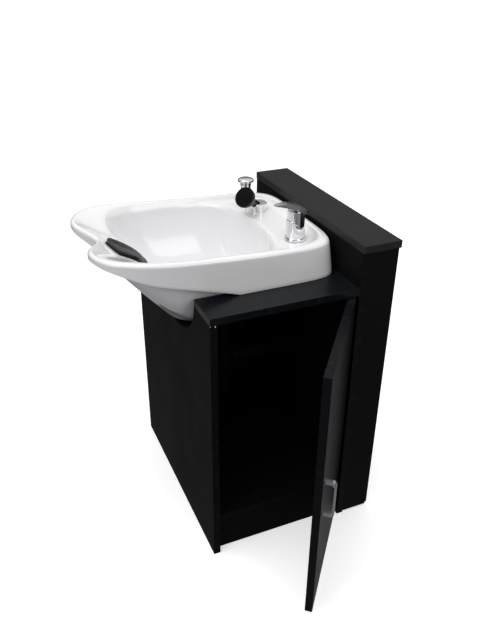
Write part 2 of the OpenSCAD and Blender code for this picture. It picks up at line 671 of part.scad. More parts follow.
// foot and barrel; the barrel's top slopes down to the rear
module mixer_body() {
  color(chrome_c) at_mixer() difference() {
    union() {
      translate([0, 0, foot_z]) cylinder(r1 = mixer_foot_r, r2 = mixer_foot_r - 0.6, h = 5);
      translate([0, 0, foot_z + 5]) cylinder(r1 = mixer_foot_r - 0.6, r2 = mixer_r + 1.8, h = 2.5);
      translate([0, 0, foot_z + 7.4]) cylinder(r = mixer_r, h = 60);
    }
    translate([0, 0, floor_z]) cylinder(r = dome_r + 0.4, h = 80);
    translate([0, 0, deck_z + 39.5]) rotate([-32, 0, 0]) translate([-50, -80, 0]) cube([100, 160, 80]);
    for (t = tails) translate([t[0], t[1], foot_z - 1]) cylinder(r = 4.05, h = 9);
    translate([0, stud_y, foot_z - 1]) cylinder(r = 3.05, h = 9);
  }
  color(chrome_c) at_mixer() translate([0, 0, floor_z - 1]) cylinder(r = swivel_r, h = 13);
}

// hot and cold supply and the mixed outlet to the spray
module mixer_tails() {
  color(chrome_c) at_mixer() for (t = tails) translate([t[0], t[1], 0]) difference() {
    translate([0, 0, tail_low_z]) cylinder(r = 4, h = foot_z + 7.5 - tail_low_z);
    translate([0, 0, tail_low_z - 1]) cylinder(r = 2.6, h = foot_z + 5 - tail_low_z);
  }
}

module mixer_stud() {
  color(steel_c) at_mixer() translate([0, stud_y, deck_low_z - 30]) cylinder(r = 3, h = foot_z + 37 - deck_low_z);
}

module mixer_washer() {
  color(steel_c) at_mixer() difference() {
    translate([0, 0, deck_low_z - 4]) cylinder(r = 24, h = 3.97);
    translate([0, -7.5, deck_low_z - 5]) cylinder(r = 12.4, h = 6);
    translate([0, stud_y, deck_low_z - 5]) cylinder(r = 3.3, h = 6);
  }
}

module mixer_nut() {
  color(steel_c) at_mixer() translate([0, stud_y, 0]) difference() {
    translate([0, 0, deck_low_z - 10]) cylinder(r = 6.3, h = 5.97, $fn = 6);
    translate([0, 0, deck_low_z - 11]) cylinder(r = 3.05, h = 8);
  }
}

// the lever's side view, Y to the left, Z up from the deck: a half moon between two arcs
module lever_side() {
  difference() {
    translate([-39.7, -4.5]) circle(r = 104, $fn = 160);
    lever_under();
    translate([-262, -200]) square([200, 400]);
  }
}

module lever_under() {
  translate([-120.7, -215]) circle(r = 317, $fn = 360);
}

// extrudes a side view to both sides of the mixer's middle plane
module from_side(w) {
  rotate([90, 0, 90]) translate([0, 0, -w / 2]) linear_extrude(w) children();
}

// what the lever's underside leaves free for the dome at the two ends of its lift
module lever_room() {
  offset_z = deck_z - 0.5;
  intersection() {
    translate([0, 0, offset_z]) from_side(60) lever_under();
    translate([0, pivot_y, pivot_z]) rotate([-lift_max, 0, 0]) translate([0, -pivot_y, -pivot_z])
      translate([0, 0, offset_z]) from_side(60) lever_under();
  }
}

// cover of the cartridge; it turns on the post in the barrel and carries the lever
module mixer_dome() {
  color(chrome_c) at_mixer() difference() {
    intersection() {
      translate([0, 0, floor_z + 0.4]) cylinder(r = dome_r, h = 60);
      lever_room();
    }
    translate([0, 0, floor_z]) cylinder(r = swivel_r + 0.05, h = 13);
    translate([-6.4, pivot_y, pivot_z]) rotate([0, 90, 0]) cylinder(r = 5.3, h = 12.8);
    translate([-6.4, pivot_y - 5.3, pivot_z]) cube([12.8, 30, 40]);
  }
}

module mixer_lever() {
  color(chrome_c) at_mixer() {
    intersection() {
      translate([0, 0, deck_z]) from_side(60) lever_side();
      union() {
        translate([0, 22, deck_z]) cylinder(r = 14.5, h = 130);
        linear_extrude(deck_z + 130) polygon([[-14.5, 22], [-13, -20], [-6, -64], [6, -64], [13, -20], [14.5, 22]]);
      }
    }
    difference() {
      union() {
        translate([-6, pivot_y, pivot_z]) rotate([0, 90, 0]) cylinder(r = 4.8, h = 12);
        translate([-6, pivot_y - 4.8, pivot_z]) cube([12, 9.6, 12]);
      }
      translate([0, 0, deck_z + 0.6]) from_side(60) difference() {
        translate([-50, 0]) square([150, 120]);
        lever_under();
      }
    }
  }
}

// ---------------------------------------------------------------- spray
holder_r = 24.5;
holder_h = 21;
socket_r = 11.3;
tail_r = socket_r - 0.35;

module at_holder() {
  translate([holder_x, fitting_y, 0]) children();
}

// along the spray's axis from the middle of its socket
module along_spray() {
  translate([holder_x, fitting_y, deck_z + 11]) rotate([0, 0, spray_dir]) rotate([0, 90 - spray_tilt, 0]) children();
}

module spray_holder() {
  color(chrome_c) difference() {
    at_holder() {
      translate([0, 0, deck_z + 0.03]) cylinder(r = holder_r, h = holder_h - 1.2);
      translate([0, 0, deck_z + holder_h - 1.2]) cylinder(r1 = holder_r, r2 = holder_r - 1, h = 1.2);
      translate([0, 0, deck_low_z - 24]) cylinder(r = holder_hole_r - 0.3, h = 40);
    }
    along_spray() translate([0, 0, -2.5]) cylinder(r = socket_r, h = 60);
    at_holder() translate([0, 0, deck_low_z - 25]) cylinder(r = 9, h = 37);
  }
}

module holder_backnut() {
  color(chrome_c) at_holder() difference() {
    translate([0, 0, deck_low_z - 8]) cylinder(r = 19, h = 7.97, $fn = 6);
    translate([0, 0, deck_low_z - 9]) cylinder(r = holder_hole_r - 0.25, h = 10);
  }
}

// bell: tail, flared shell and the rim round the rose
bell_len = 81;
module spray_body() {
  e = bell_len;
  color(black_c) along_spray() rotate_extrude() polygon([
    [5, -2], [tail_r, -2], [tail_r, e - 46], [12.2, e - 41], [14.6, e - 35], [18.2, e - 28], [22.2, e - 21],
    [25.4, e - 15], [27.4, e - 10], [rose_r, e - 5], [rose_r, e - 1], [rose_r - 0.8, e], [rose_r - 2.2, e],
    [rose_r - 2.2, e - 4], [8, e - 12], [5, e - 27]]);
}

nozzle_rings = [[0, 1], [6.5, 6], [13, 12], [19.5, 18]];
module spray_face() {
  color(black_c) along_spray() difference() {
    translate([0, 0, bell_len - 3.98]) cylinder(r = rose_r - 2.25, h = 3);
    for (g = nozzle_rings, i = [1:g[1]]) rotate([0, 0, i * 360 / g[1]]) translate([g[0], 0, bell_len - 3])
      cylinder(r = 1.35, h = 3, $fn = 20);
  }
}

module spray_nozzles() {
  color(steel_c) along_spray() for (g = nozzle_rings, i = [1:g[1]]) rotate([0, 0, i * 360 / g[1]])
    translate([g[0], 0, bell_len - 2.95]) difference() {
      cylinder(r1 = 1.3, r2 = 0.95, h = 3.4, $fn = 20);
      translate([0, 0, 1]) cylinder(r = 0.45, h = 3, $fn = 12);
    }
}

// ---------------------------------------------------------------- vacuum breaker
breaker_hole_r = 11;
breaker_r = 15;
breaker_neck_z = deck_z + 59.5;

module at_breaker() {
  translate([breaker_x, breaker_y, 0]) children();
}

// pillar with air slots under the cap
module breaker_body() {
  color(chrome_c) at_breaker() difference() {
    union() {
      translate([0, 0, deck_z + 0.03]) cylinder(r = breaker_r + 1, h = 3);
      translate([0, 0, deck_z + 3]) cylinder(r = breaker_r - 1, h = breaker_neck_z - deck_z - 3);
      translate([0, 0, breaker_neck_z - 3]) cylinder(r = breaker_r, h = 13);
      translate([0, 0, deck_low_z - 26]) cylinder(r = breaker_hole_r - 0.3, h = 50);
    }
    translate([0, 0, deck_low_z - 27]) cylinder(r = 7, h = breaker_neck_z - deck_low_z + 22);
    for (i = [1:12]) rotate([0, 0, i * 30]) translate([9, -1.6, breaker_neck_z]) cube([10, 3.2, 11]);
  }
}

module breaker_cap() {
  r = breaker_cap_r;
  color(chrome_c) at_breaker() translate([0, 0, breaker_neck_z + 8]) rotate_extrude() polygon([
    [0, 2.03], [breaker_r + 0.1, 2.03], [breaker_r + 0.1, 0], [r - 1, 0.4], [r, 1.6], [r, 4.2],
    [r - 0.8, 6], [r - 3.2, 7.8], [r - 7, 9.4], [r - 11, 10.2], [0, 10.5]]);
}

module breaker_backnut() {
  color(chrome_c) at_breaker() difference() {
    translate([0, 0, deck_low_z - 8]) cylinder(r = 16, h = 7.97, $fn = 6);
    translate([0, 0, deck_low_z - 9]) cylinder(r = breaker_hole_r - 0.25, h = 10);
  }
}

front_panel();
far_side_panel();
tall_back_panel();
bottom_panel();
plinth_rail_near();
plinth_rail_far();
shelf_top();
cam_locks();
column_side_near();
column_side_far();
column_back_panel();
column_cap();
column_back_screws();
door_panel();
door_handle();
door_handle_screws();
hinge_cups();
hinge_arms();
hinge_plates();
hinge_screws();
wash_bowl();
neck_rest();
waste_flange();
waste_gasket();
waste_backnut();
waste_strainer();
trap_inlet_nut();
trap_body();
trap_cup();
trap_outlet_nut();
waste_pipe();
mixer_gasket();
mixer_body();
mixer_tails();
mixer_stud();
mixer_washer();
mixer_nut();
mixer_dome();
mixer_lever();
spray_holder();
holder_backnut();
spray_body();
spray_face();
spray_nozzles();
breaker_body();
breaker_cap();
breaker_backnut();
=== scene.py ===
"""Looks of the shampoo backwash unit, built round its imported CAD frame. Metres, +Z up."""
import json
import math

import bmesh
import bpy
from mathutils import Matrix, Vector

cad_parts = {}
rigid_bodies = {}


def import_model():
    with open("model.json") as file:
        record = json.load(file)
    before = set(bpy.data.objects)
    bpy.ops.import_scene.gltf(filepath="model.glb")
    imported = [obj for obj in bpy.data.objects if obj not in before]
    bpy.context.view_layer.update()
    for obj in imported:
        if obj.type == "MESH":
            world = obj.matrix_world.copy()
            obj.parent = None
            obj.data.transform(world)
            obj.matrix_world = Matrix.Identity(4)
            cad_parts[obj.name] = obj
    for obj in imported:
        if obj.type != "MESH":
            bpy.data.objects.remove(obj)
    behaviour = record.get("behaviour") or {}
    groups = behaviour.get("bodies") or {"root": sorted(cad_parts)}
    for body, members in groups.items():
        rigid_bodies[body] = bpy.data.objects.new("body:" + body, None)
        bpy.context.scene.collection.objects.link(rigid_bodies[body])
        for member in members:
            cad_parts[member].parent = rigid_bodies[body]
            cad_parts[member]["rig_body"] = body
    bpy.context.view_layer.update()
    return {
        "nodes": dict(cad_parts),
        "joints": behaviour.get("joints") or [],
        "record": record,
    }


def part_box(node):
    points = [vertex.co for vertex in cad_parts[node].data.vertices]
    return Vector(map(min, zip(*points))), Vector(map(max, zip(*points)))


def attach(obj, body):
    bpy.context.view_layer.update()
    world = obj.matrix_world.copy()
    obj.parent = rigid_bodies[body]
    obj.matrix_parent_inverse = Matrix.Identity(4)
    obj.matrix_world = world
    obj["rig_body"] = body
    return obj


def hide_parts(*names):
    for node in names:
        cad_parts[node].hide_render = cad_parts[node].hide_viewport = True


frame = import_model()
nodes = frame["nodes"]
SLOT = {s["node"]: s["material_slot"] for s in frame["record"]["subparts"]}
DOOR = next(j for j in frame["joints"] if j["name"] == "door_hinge")
MM = 0.001
TAPE = 0.9 * MM  # thickness of the edging tape
DOOR_AJAR = 51  # degrees the door stands open at rest


# ------------------------------------------------------------------ small helpers
def rad(a):
    return math.radians(a)


def sin(a):
    return math.sin(rad(a))


def cos(a):
    return math.cos(rad(a))


def clamp(t, lo=0.0, hi=1.0):
    return min(hi, max(lo, t))


def smooth01(t):
    c = clamp(t)
    return c * c * (3 - 2 * c)


def bell(x, w, n):
    return math.exp(-abs(x / w) ** n)


def mix(a, b, t):
    if isinstance(a, tuple):
        return tuple(x * (1 - t) + y * t for x, y in zip(a, b))
    return a * (1 - t) + b * t


def add_object(name, mesh):
    o = bpy.data.objects.new(name, mesh)
    bpy.context.scene.collection.objects.link(o)
    return o


# ------------------------------------------------------------------ shader helpers
class Shader:
    """A principled material with the few node chains that the finishes share."""

    def __init__(self, name, color, rough, **inputs):
        self.mat = bpy.data.materials.new(name)
        self.mat.use_nodes = True
        self.nt = self.mat.node_tree
        self.bsdf = self.nt.nodes["Principled BSDF"]
        self.bsdf.inputs["Base Color"].default_value = (*color, 1)
        self.bsdf.inputs["Roughness"].default_value = rough
        for key, value in inputs.items():
            self.bsdf.inputs[key.replace("_", " ")].default_value = value
        self.where = self.node("ShaderNodeTexCoord").outputs["Object"]

    def node(self, kind, **props):
        n = self.nt.nodes.new(kind)
        for key, value in props.items():
            setattr(n, key, value)
        return n

    def put(self, socket, value):
        if isinstance(value, bpy.types.NodeSocket):
            self.nt.links.new(value, socket)
        elif isinstance(value, (tuple, list)) and len(value) == 3 and socket.type == "RGBA":
            socket.default_value = (*value, 1)
        else:
            socket.default_value = value

    def math(self, op, a, b):
        n = self.node("ShaderNodeMath", operation=op)
        for socket, value in zip(n.inputs, (a, b)):
            self.put(socket, value)
        return n.outputs[0]

    def noise(self, scale, detail, rough=0.5, where=None):
        n = self.node("ShaderNodeTexNoise")
        self.put(n.inputs["Vector"], where or self.where)
        n.inputs["Scale"].default_value = scale
        n.inputs["Detail"].default_value = detail
        n.inputs["Roughness"].default_value = rough
        return n.outputs["Fac"]

    def stretch(self, scale, turn=0.0):
        n = self.node("ShaderNodeMapping")
        self.put(n.inputs["Vector"], self.where)
        n.inputs["Scale"].default_value = scale
        n.inputs["Rotation"].default_value = (0, 0, turn)
        return n.outputs[0]

    def span(self, value, a, b, lo=0.0, hi=1.0):
        n = self.node("ShaderNodeMapRange", clamp=True)
        for socket, v in zip(n.inputs, (value, a, b, lo, hi)):
            self.put(socket, v)
        return n.outputs[0]

    def blend(self, fac, a, b):
        n = self.node("ShaderNodeMix", data_type="RGBA")
        sockets = [s for s in n.inputs if s.enabled and s.type == "RGBA"]
        self.put(n.inputs[0], fac)
        self.put(sockets[0], a)
        self.put(sockets[1], b)
        return next(s for s in n.outputs if s.enabled and s.type == "RGBA")

    def color(self, value):
        self.put(self.bsdf.inputs["Base Color"], value)

    def rough(self, value):
        self.put(self.bsdf.inputs["Roughness"], value)

    def bump(self, height, distance, strength=1.0):
        n = self.node("ShaderNodeBump")
        n.inputs["Strength"].default_value = strength
        n.inputs["Distance"].default_value = distance
        self.put(n.inputs["Height"], height)
        old = self.bsdf.inputs["Normal"].links
        if old:
            self.put(n.inputs["Normal"], old[0].from_socket)
        self.put(self.bsdf.inputs["Normal"], n.outputs[0])

    def xyz(self):
        n = self.node("ShaderNodeSeparateXYZ")
        self.put(n.inputs[0], self.where)
        return n.outputs

    def near(self, point, radius):
        """1 close to a point of the object, falling to 0 at the radius."""
        n = self.node("ShaderNodeVectorMath", operation="DISTANCE")
        self.put(n.inputs[0], self.where)
        n.inputs[1].default_value = point
        return self.span(n.outputs["Value"], radius * 0.7, radius, 1.0, 0.0)


# ------------------------------------------------------------------ finishes
def melamine(name, lo, hi, tint=(0.0048, 0.0045, 0.0043), gloss=0.55, shine=0.04,
             turn=0.0, pivot=(0, 0, 0), chips=()):
    """Black melamine chipboard: pearl grain, faint scuffs, edging tape with its joint line. lo and hi
    are the corners of the board before it is turned about the pivot."""
    s = Shader(name, tint, gloss, Specular_IOR_Level=shine)
    if turn:
        back = s.node("ShaderNodeVectorRotate", rotation_type="Z_AXIS", invert=True)
        s.put(back.inputs["Vector"], s.where)
        back.inputs["Center"].default_value = pivot
        back.inputs["Angle"].default_value = turn
        s.where = back.outputs[0]
    size = [h - l for l, h in zip(lo, hi)]
    thin = size.index(min(size))
    axes = s.xyz()
    # distance from the board's four narrow sides
    edge = 1.0
    for i in range(3):
        if i != thin:
            for value in (s.math("SUBTRACT", axes[i], lo[i]), s.math("SUBTRACT", hi[i], axes[i])):
                edge = s.math("MINIMUM", edge, value)
    grain = s.noise(1500, 2, 0.6)
    pearl = s.noise(420, 3, 0.55)
    cloud = s.noise(3.1, 4, 0.6)
    rub = s.noise(9, 5, 0.6, s.stretch((1, 1, 0.8)))
    scratch = s.math("MULTIPLY", s.span(s.noise(55, 2, 0.5, s.stretch((0.12, 1.6, 1.6), 0.5)), 0.70, 0.74),
                     s.span(s.noise(5, 2), 0.52, 0.66))
    tape = s.span(edge, TAPE / 2, TAPE, 1.0, 0.0)
    line = s.math("MULTIPLY", s.span(edge, 0.0007, 0.0010), s.span(edge, 0.0012, 0.0016, 1.0, 0.0))
    worn = s.math("MULTIPLY", s.span(edge, 0.0, 0.0028, 1.0, 0.0), s.span(s.noise(38, 4, 0.7), 0.55, 0.72))
    lighter = tuple(c * 1.9 + 0.001 for c in tint)
    col = s.blend(s.span(pearl, 0.45, 0.72, 0.0, 0.55), tint, lighter)
    col = s.blend(s.span(cloud, 0.35, 0.75, 0.0, 0.35), col, tuple(c * 1.7 for c in tint))
    col = s.blend(s.math("MULTIPLY", scratch, 0.35), col, (0.07, 0.07, 0.075))
    col = s.blend(s.math("MULTIPLY", tape, 0.6), col, tuple(c * 1.25 for c in tint))
    col = s.blend(s.math("MULTIPLY", line, 0.8), col, (0.004, 0.004, 0.004))
    col = s.blend(s.math("MULTIPLY", worn, 0.10), col, (0.085, 0.083, 0.08))
    # near-white spots round the given points
    for point, radius in chips:
        col = s.blend(s.near(point, radius), col, (0.72, 0.70, 0.66))
    s.color(col)
    soft = s.span(rub, 0.3, 0.75, gloss - 0.03, gloss + 0.05)
    soft = s.math("SUBTRACT", soft, s.math("MULTIPLY", tape, 0.06))
    s.rough(s.math("ADD", soft, s.span(cloud, 0.3, 0.7, -0.03, 0.04)))
    s.bump(grain, 0.00012, 0.35)
    s.bump(pearl, 0.00025, 0.30)
    s.bump(s.math("SUBTRACT", 1.0, line), 0.0002, 0.8)
    return s.mat


def ceramic(name):
    """White glaze: slight orange peel, pooled glaze and faint dust."""
    s = Shader(name, (0.80, 0.80, 0.81), 0.07, Specular_IOR_Level=0.5, Coat_Weight=0.35,
               Coat_Roughness=0.03)
    cloud = s.noise(4.2, 3, 0.5)
    fine = s.noise(34, 3, 0.55)
    specks = s.span(s.noise(520, 1, 0.5), 0.745, 0.775)
    col = s.blend(s.span(cloud, 0.35, 0.7), (0.815, 0.817, 0.830), (0.845, 0.843, 0.838))
    col = s.blend(s.math("MULTIPLY", specks, 0.18), col, (0.60, 0.59, 0.56))
    s.color(col)
    s.rough(s.span(s.noise(9, 4, 0.6), 0.35, 0.75, 0.055, 0.13))
    s.bump(cloud, 0.0012, 0.25)
    s.bump(fine, 0.0002, 0.35)
    return s.mat


def chrome(name, rough=0.045, color=(0.80, 0.80, 0.815)):
    """Chrome plate with water marks and rubbed patches."""
    s = Shader(name, color, rough, Metallic=1.0)
    marks = s.noise(95, 4, 0.65)
    drops = s.span(s.noise(240, 1, 0.4), 0.66, 0.70)
    s.color(s.blend(s.span(marks, 0.45, 0.75, 0.0, 0.5), color, tuple(c * 0.88 for c in color)))
    s.rough(s.math("ADD", s.span(marks, 0.35, 0.75, rough, rough + 0.05), s.math("MULTIPLY", drops, 0.10)))
    s.bump(s.noise(140, 2, 0.5), 0.00004, 0.5)
    return s.mat


def brushed(name, color=(0.52, 0.52, 0.54), rough=0.30, along=(1, 1, 0.04)):
    """Metal brushed along one axis."""
    s = Shader(name, color, rough, Metallic=1.0, Anisotropic=0.35)
    lines = s.noise(900, 3, 0.6, s.stretch(along))
    s.color(s.blend(s.span(lines, 0.3, 0.7), tuple(c * 0.82 for c in color), tuple(c * 1.12 for c in color)))
    s.rough(s.span(lines, 0.3, 0.7, rough - 0.07, rough + 0.08))
    s.bump(lines, 0.00003, 0.6)
    return s.mat


def rubber(name, color=(0.0045, 0.0043, 0.0045), rough=0.28, shine=0.11):
    """Moulded black rubber: fine pebble, rubbed sheen, a little lime dust in the pores."""
    s = Shader(name, color, rough, Specular_IOR_Level=shine)
    pebble = s.node("ShaderNodeTexVoronoi", feature="SMOOTH_F1")
    s.put(pebble.inputs["Vector"], s.where)
    pebble.inputs["Scale"].default_value = 900
    grain = pebble.outputs["Distance"]
    rub = s.noise(28, 4, 0.6)
    dust = s.math("MULTIPLY", s.span(s.noise(300, 2, 0.6), 0.62, 0.75), s.span(rub, 0.45, 0.7))
    col = s.blend(s.span(rub, 0.35, 0.7), color, tuple(c * 1.8 for c in color))
    s.color(s.blend(s.math("MULTIPLY", dust, 0.25), col, (0.11, 0.10, 0.09)))
    s.rough(s.span(rub, 0.3, 0.7, rough - 0.07, rough + 0.10))
    s.bump(grain, 0.00018, 0.35)
    s.bump(s.noise(60, 3, 0.5), 0.0004, 0.35)
    return s.mat


def plastic(name, color, rough, shine):
    """Moulded plastic with a light texture and handling marks."""
    s = Shader(name, color, rough, Specular_IOR_Level=shine)
    cloud = s.noise(22, 4, 0.6)
    s.color(s.blend(s.span(cloud, 0.3, 0.7), tuple(c * 0.8 for c in color), tuple(c * 1.2 for c in color)))
    s.rough(s.span(s.noise(60, 4, 0.65), 0.3, 0.7, max(0.03, rough - 0.05), rough + 0.08))
    s.bump(s.noise(700, 2, 0.5), 0.00006, 0.5)
    return s.mat


glaze_mat = ceramic("glaze_white")
chrome_mat = chrome("chrome_plate")
lever_mat = chrome("chrome_satin", 0.20, (0.56, 0.56, 0.58))
steel_mat = brushed("steel_brushed")
# painted shade: a near-black copy of the brushed steel for the hinges inside the cabinet
hinge_shade_mat = brushed("steel_dark_painted_shade", (0.030, 0.030, 0.031), 0.40)
zinc_mat = brushed("steel_zinc", (0.60, 0.60, 0.61), 0.26, (0.3, 1, 1))
rest_mat = rubber("rubber_rest")
seal_mat = rubber("rubber_seal", (0.02, 0.02, 0.02), 0.5)
waste_mat = plastic("plastic_waste", (0.006, 0.006, 0.006), 0.5, shine=0.06)
gloss_mat = plastic("plastic_black", (0.0050, 0.0050, 0.0055), 0.22, shine=0.35)
rose_mat = plastic("plastic_rose", (0.0025, 0.0025, 0.0028), 0.5, shine=0.08)
nozzle_mat = rubber("rubber_nozzle", (0.006, 0.006, 0.0065), 0.5, 0.12)
BY_SLOT = {"steel": steel_mat, "glaze": glaze_mat, "rubber": seal_mat, "chrome": chrome_mat,
           "waste_plastic": waste_mat, "black_plastic": gloss_mat, "rose_plastic": rose_mat,
           "rose_rubber": nozzle_mat}


# ------------------------------------------------------------------ pieces made from CAD nodes
def refined(node, width, mat, segments=3):
    """A copy of a hard CAD piece with its edges broken and its curved faces smooth."""
    src = nodes[node]
    me = src.data.copy()
    me.name = node + "_fine"
    bm = bmesh.new()
    bm.from_mesh(me)
    bmesh.ops.remove_doubles(bm, verts=bm.verts, dist=1e-6)
    bmesh.ops.dissolve_limit(bm, angle_limit=rad(0.4), verts=bm.verts, edges=bm.edges)
    bm.to_mesh(me)
    bm.free()
    if "custom_normal" in me.attributes:
        me.attributes.remove(me.attributes["custom_normal"])
    me.polygons.foreach_set("use_smooth", [True] * len(me.polygons))
    me.materials.clear()
    me.materials.append(mat)
    o = add_object(node + "_fine", me)
    bevel = o.modifiers.new("broken edges", "BEVEL")
    bevel.width = width
    bevel.segments = segments
    bevel.limit_method = "ANGLE"
    bevel.angle_limit = rad(30)
    bevel.use_clamp_overlap = True
    bevel.miter_outer = "MITER_ARC"
    normals = o.modifiers.new("flat faces flat", "WEIGHTED_NORMAL")
    normals.weight = 60
    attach(o, src["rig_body"])
    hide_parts(node)


def repaint(node, mat):
    me = nodes[node].data
    me.materials.clear()
    me.materials.append(mat)


# boards, each with its own grain, edging and wear; three of them take lit copies of the black tint as painted
# light
BOARDS = {"front_panel": {}, "far_side_panel": {}, "tall_back_panel": {"shine": 0.06}, "bottom_panel": {},
          "plinth_rail_near": {}, "plinth_rail_far": {},
          # painted light: a slightly lighter, bluer copy of the black tint on the near column side
          "column_side_near": {"tint": (0.0050, 0.0050, 0.0056), "shine": 0.05},
          "column_side_far": {}, "column_back_panel": {},
          # painted sheen: the shelf top's bluish tint stands in for its reflection
          "shelf_top": {"tint": (0.0046, 0.0054, 0.0070), "gloss": 0.27, "shine": 0.14},
          # painted light: the cap's grey tint is the black melamine made lighter for light on its top face
          "column_cap": {"tint": (0.0170, 0.0175, 0.0182), "gloss": 0.42, "shine": 0.10}}
for board, looks in BOARDS.items():
    b_lo, b_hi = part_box(board)
    if board == "front_panel":
        # near-white spots along the front panel's top near edge
        x, y, z = b_hi.x, b_lo.y, b_hi.z
        looks["chips"] = [((x, y + 0.001, z + 0.004 - 0.001 * k), 0.0013) for k in (0, 2, 4)]
        looks["chips"] += [((x, y + 0.013, z + 0.003 - 0.001 * k), 0.0016) for k in (0, 2, 4, 6)]
    refined(board, 0.0006, melamine("melamine_" + board, b_lo, b_hi, **looks), 2)

# the door stands ajar, so its finish is laid out on the closed board
door_turn = rad(DOOR_AJAR)
pivot = Vector(DOOR["pos_m"])
turned = Matrix.Rotation(-door_turn, 4, "Z")
closed = [pivot + turned @ (v.co - pivot) for v in nodes["door_panel"].data.vertices]
d_lo = [min(v[i] for v in closed) for i in range(3)]
d_hi = [max(v[i] for v in closed) for i in range(3)]
# painted sheen: the door's bluish tint stands in for the sheen on its face
door_mat = melamine("melamine_door", d_lo, d_hi, tint=(0.0044, 0.0049, 0.0060), gloss=0.34, shine=0.06,
                    turn=door_turn, pivot=tuple(pivot))
refined("door_panel", 0.0006, door_mat, 2)

# bevel width in millimetres, finish, segments
FINE = {"door_handle": (2.2, steel_mat, 4),
        "mixer_body": (0.4, chrome_mat, 3), "mixer_dome": (0.8, chrome_mat, 3),
        "mixer_lever": (1.1, lever_mat, 4),
        "spray_holder": (0.6, chrome_mat, 3), "spray_body": (0.3, gloss_mat, 3),
        "spray_face": (0.2, rose_mat, 3),
        "breaker_body": (0.4, chrome_mat, 3), "breaker_cap": (0.3, chrome_mat, 3),
        "waste_flange": (0.3, chrome_mat, 3), "waste_strainer": (0.3, chrome_mat, 3),
        "hinge_cups": (0.3, hinge_shade_mat, 3), "hinge_arms": (0.4, hinge_shade_mat, 3),
        "hinge_plates": (0.4, hinge_shade_mat, 3),
        "trap_inlet_nut": (0.5, waste_mat, 2), "trap_body": (0.5, waste_mat, 2),
        "trap_cup": (0.5, waste_mat, 2), "trap_outlet_nut": (0.5, waste_mat, 2),
        "waste_pipe": (0.5, waste_mat, 2)}
for node, (width, mat, segments) in FINE.items():
    refined(node, width * MM, mat, segments)
for node in nodes:
    if SLOT[node] != "melamine" and node not in ("wash_bowl", "neck_rest"):
        repaint(node, BY_SLOT[SLOT[node]])
for node in ("cam_locks", "column_back_screws", "door_handle_screws", "mixer_stud", "mixer_washer",
             "mixer_nut"):
    repaint(node, zinc_mat)
# painted shade: the hinge screws take the same near-black steel
repaint("hinge_screws", hinge_shade_mat)

# ------------------------------------------------------------------ bowl
# the surfaces of the wash bowl in millimetres, from the frame's own boxes
bowl_lo, bowl_hi = (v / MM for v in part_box("wash_bowl"))
HALF = bowl_hi.x
BOWL_Y = bowl_hi.y - 325
HULL_Z = bowl_lo.z + 12
SHELF_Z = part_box("shelf_top")[1].z / MM
RIM_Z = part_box("mixer_gasket")[0].z / MM + 13 - 0.03
DRAIN_Y = (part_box("waste_flange")[0].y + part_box("waste_flange")[1].y) / 2 / MM
FRONT, REAR, RISE = 283.0, 325.0, 26.0


def super_r(th, a, b, n):
    return (abs(cos(th) / a) ** n + abs(sin(th) / b) ** n) ** (-1 / n)


def plan(th, a, f, r, nf, nr, d, w):
    q = super_r(th, a, f if sin(th) < 0 else r, nf if sin(th) < 0 else nr)
    x = q * cos(th)
    return x, BOWL_Y + q * sin(th) + (d * bell(x, w, 2) if sin(th) < 0 else 0)


def skirt_ring(th, e, nr):
    return plan(th, HALF - e, FRONT - e, REAR - e, 3.7, nr, 45, 60)


def rim_ring(th):
    return plan(th, HALF - 24, FRONT - 93, REAR - 24, 4.6, 6, 63.5, 73)


def basin_ring(th):
    return plan(th, HALF - 30, FRONT - 99, 195, 4.4, 3.2, 63.5, 73)


def hull_ring(th):
    return plan(th, HALF - 20, FRONT - 24, 209, 3.2, 3.2, 39, 70)


def rise_at(y):
    return RISE * clamp((-99 - y) / 450) ** 1.6


def crest_z(p):
    return RIM_Z + rise_at(p[1]) - (13.5 * bell(p[0], 55, 2) if p[1] < BOWL_Y else 0)


def inner_z(p):
    return RIM_Z + rise_at(p[1]) - 71 * bell(p[0], 120, 1.9) * smooth01((BOWL_Y - p[1]) / 80)


def hem_z(p):
    t = clamp((-289.5 - p[1]) / 330, 0, 1.05)
    return (SHELF_Z + 0.3 + 90 * t ** 0.95 + 10 * smooth01((t - 0.6) / 0.3)
            - (18 * bell(p[0], 70, 2) if p[1] < BOWL_Y else 0))


def climb(u, th):
    arc = 1 - math.sqrt(max(0, 1 - u * u))
    ramp = (u - 0.38 + math.sqrt((u - 0.38) ** 2 + 0.004) - 0.0052) / 1.238
    return mix(arc, ramp, smooth01((-sin(th) - 0.35) / 0.65))


def wall_h(th):
    return crest_z(skirt_ring(th, 8, 8)) - hem_z(skirt_ring(th, 0, 10))


def arris(th):
    return min(9, wall_h(th) * 0.45)


def lean_at(th):
    return 2 * min(1, wall_h(th) / 80)


def fillet_v(th):
    a, b = basin_ring(th), rim_ring(th)
    return min(0.62, 14 / math.hypot(a[0] - b[0], a[1] - b[1]))


def saddle(th, v):
    """The rim's upper face: v from 0 at the outer arris to 1 at the inner edge, and on to 2 at the basin."""
    rr = rim_ring(th)
    cz, rz = crest_z(skirt_ring(th, 8, 8)), inner_z(rr)
    if v < 1:
        p = mix(skirt_ring(th, lean_at(th) + arris(th), 6), rr, v)
        neck = bell(p[0], 40, 2) if sin(th) < 0 else 0
        return (*p, mix(cz, rz, v) + (1.2 - 8 * neck) * sin(180 * v ** 0.65) - 3.2 * v ** 9)
    p = mix(rr, basin_ring(th), v - 1)
    return (*p, rz - 3.2 - 9.8 * sin(90 * min(1, (v - 1) / fillet_v(th))))


def drain_at(th, r):
    return r * cos(th), DRAIN_Y + r * sin(th)


